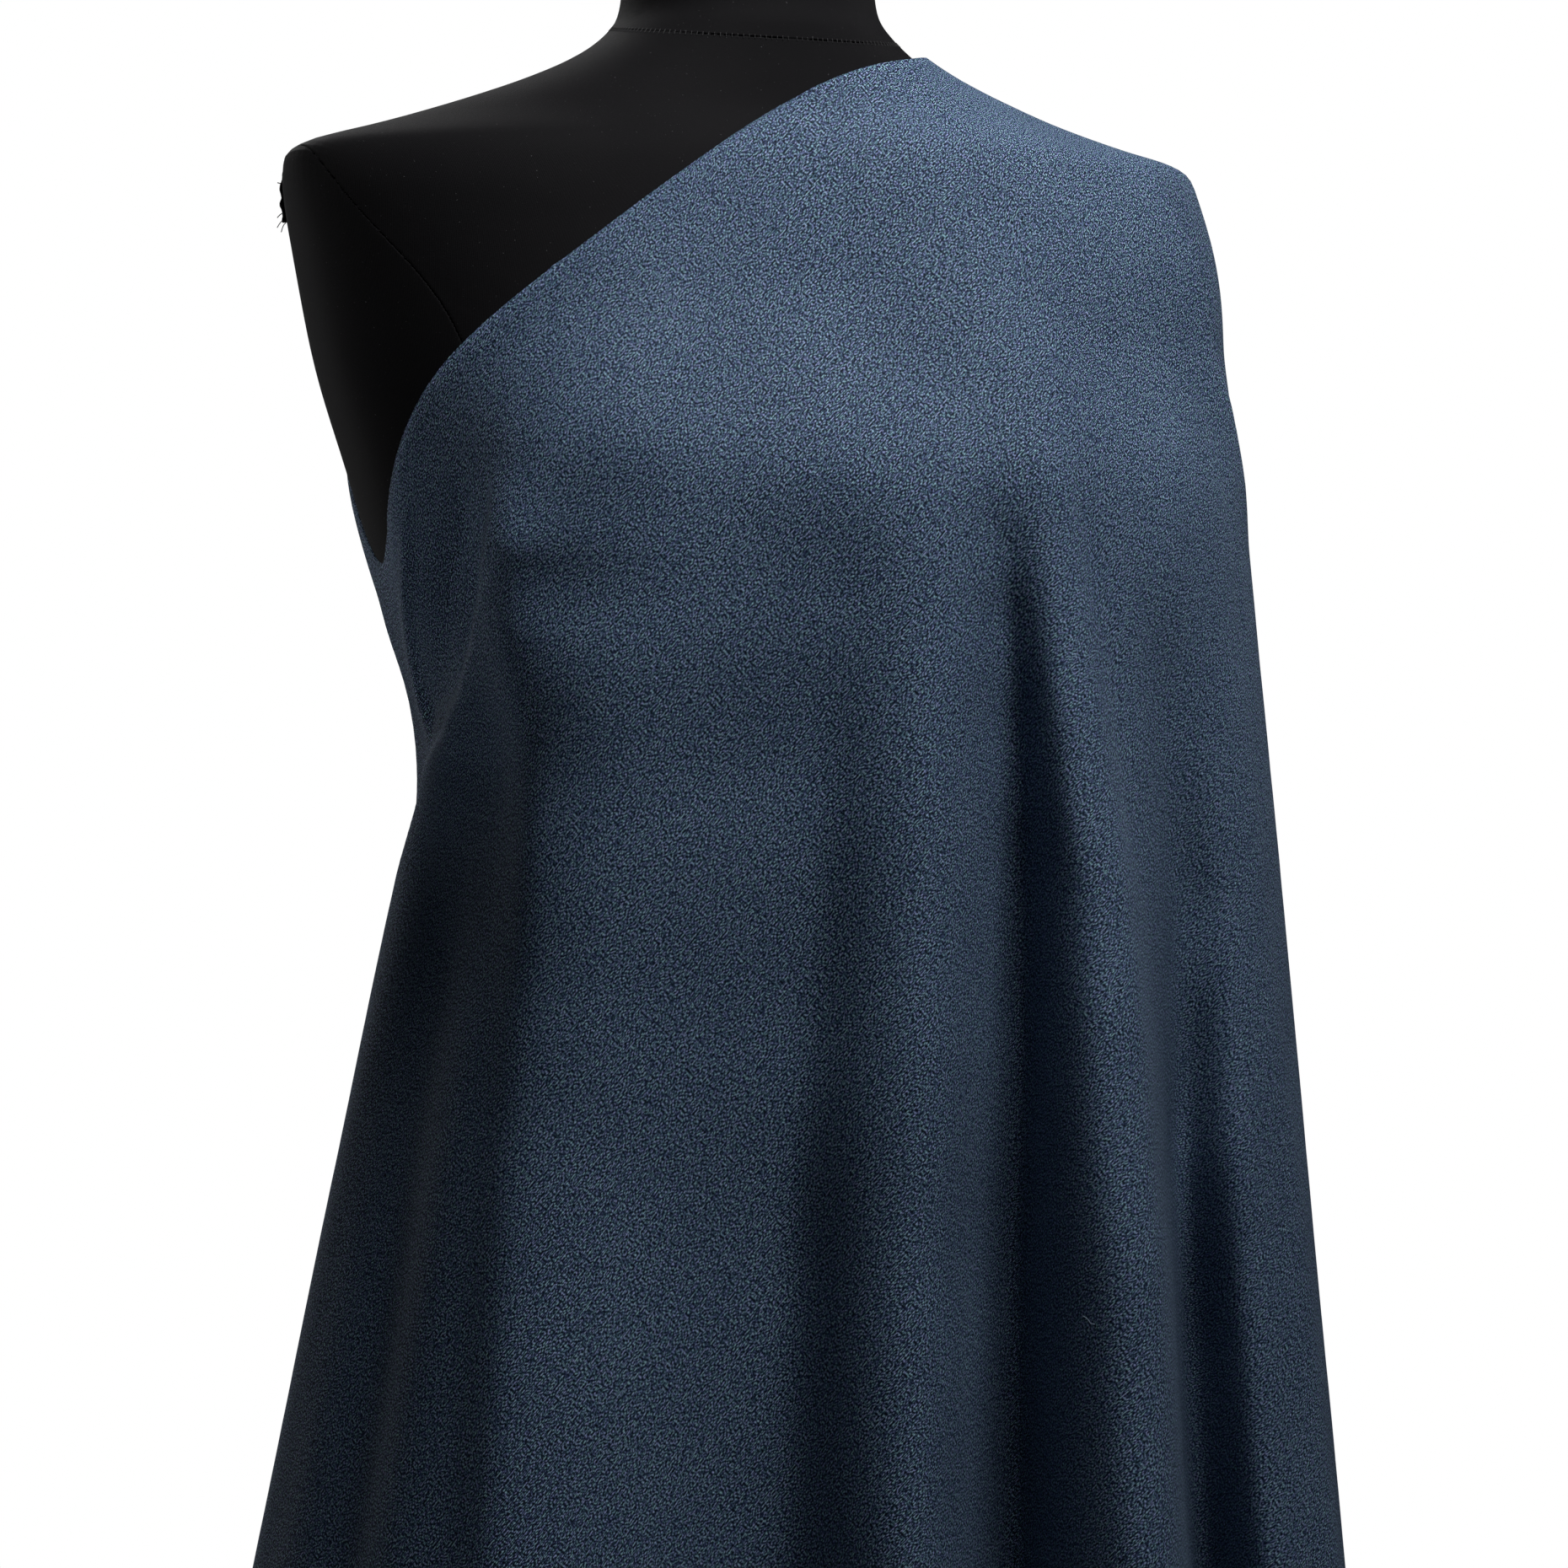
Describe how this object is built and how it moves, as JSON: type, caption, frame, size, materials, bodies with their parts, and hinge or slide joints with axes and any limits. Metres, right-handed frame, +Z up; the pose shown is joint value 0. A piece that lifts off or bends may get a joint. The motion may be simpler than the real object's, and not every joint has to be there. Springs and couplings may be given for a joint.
{
  "type": "draped dress form",
  "caption": "Headless jersey-covered dress form on a height-adjustable swivelling stand, with a length of suiting draped over one shoulder.",
  "frame": {"origin": "on the floor, at the centre of the base's felt, on the pole's axis", "axes": "+Z up; the form faces -Y; its left side, where the drape crosses the shoulder, is +X"},
  "size_m": [0.6304, 0.4157, 1.5233],
  "materials": {
    "suiting": "matte",
    "jersey": "matte",
    "shell": "matte",
    "felt": "matte",
    "black_steel": "satin",
    "chrome_trim": "polished",
    "cast_collar": "satin",
    "screw_steel": "satin",
    "nylon": "matte",
    "black_plastic": "matte",
    "board_wood": "matte",
    "cap_wood": "satin"
  },
  "bodies": {
    "stand": {"base_felt": "felt", "base_plate": "black_steel", "base_bolt": "screw_steel", "base_collar": "chrome_trim", "tube_plug": "screw_steel", "lower_tube": "black_steel", "collar_bush": "nylon", "height_collar": "cast_collar"},
    "height_knob": {"height_knob": "black_plastic"},
    "mast": {"inner_pole": "chrome_trim", "pole_cap": "nylon", "pole_ring": "cast_collar", "ring_screw": "screw_steel"},
    "form": {"pole_socket": "cast_collar", "flange_screws": "screw_steel", "bottom_board": "board_wood", "shell_front": "shell", "shell_back": "shell", "neck_block": "board_wood", "neck_cap": "cap_wood", "cap_finial": "cap_wood", "cap_stud": "screw_steel", "cover_neck": "jersey", "cover_front": "jersey", "cover_back": "jersey", "cover_side_right": "jersey", "cover_side_left": "jersey", "drape": "suiting", "drape_pins": "screw_steel"},
    "swivel_knob": {"swivel_knob": "black_plastic"}
  },
  "joints": [
    {"name": "height_slide", "type": "slide", "parent": "stand", "child": "mast", "axis": [0, 0, 1], "range_m": [0, 0.22]},
    {"name": "height_knob_turn", "type": "hinge", "parent": "stand", "child": "height_knob", "pos_m": [0, 0.04, 0.537], "axis": [0, 1, 0], "range_deg": [0, 360]},
    {"name": "form_swivel", "type": "hinge", "parent": "mast", "child": "form", "pos_m": [0, 0, 0.7], "axis": [0, 0, 1], "continuous": true},
    {"name": "swivel_knob_turn", "type": "hinge", "parent": "form", "child": "swivel_knob", "pos_m": [0, 0.03, 0.664], "axis": [0, 1, 0], "range_deg": [0, 360]}
  ]
}
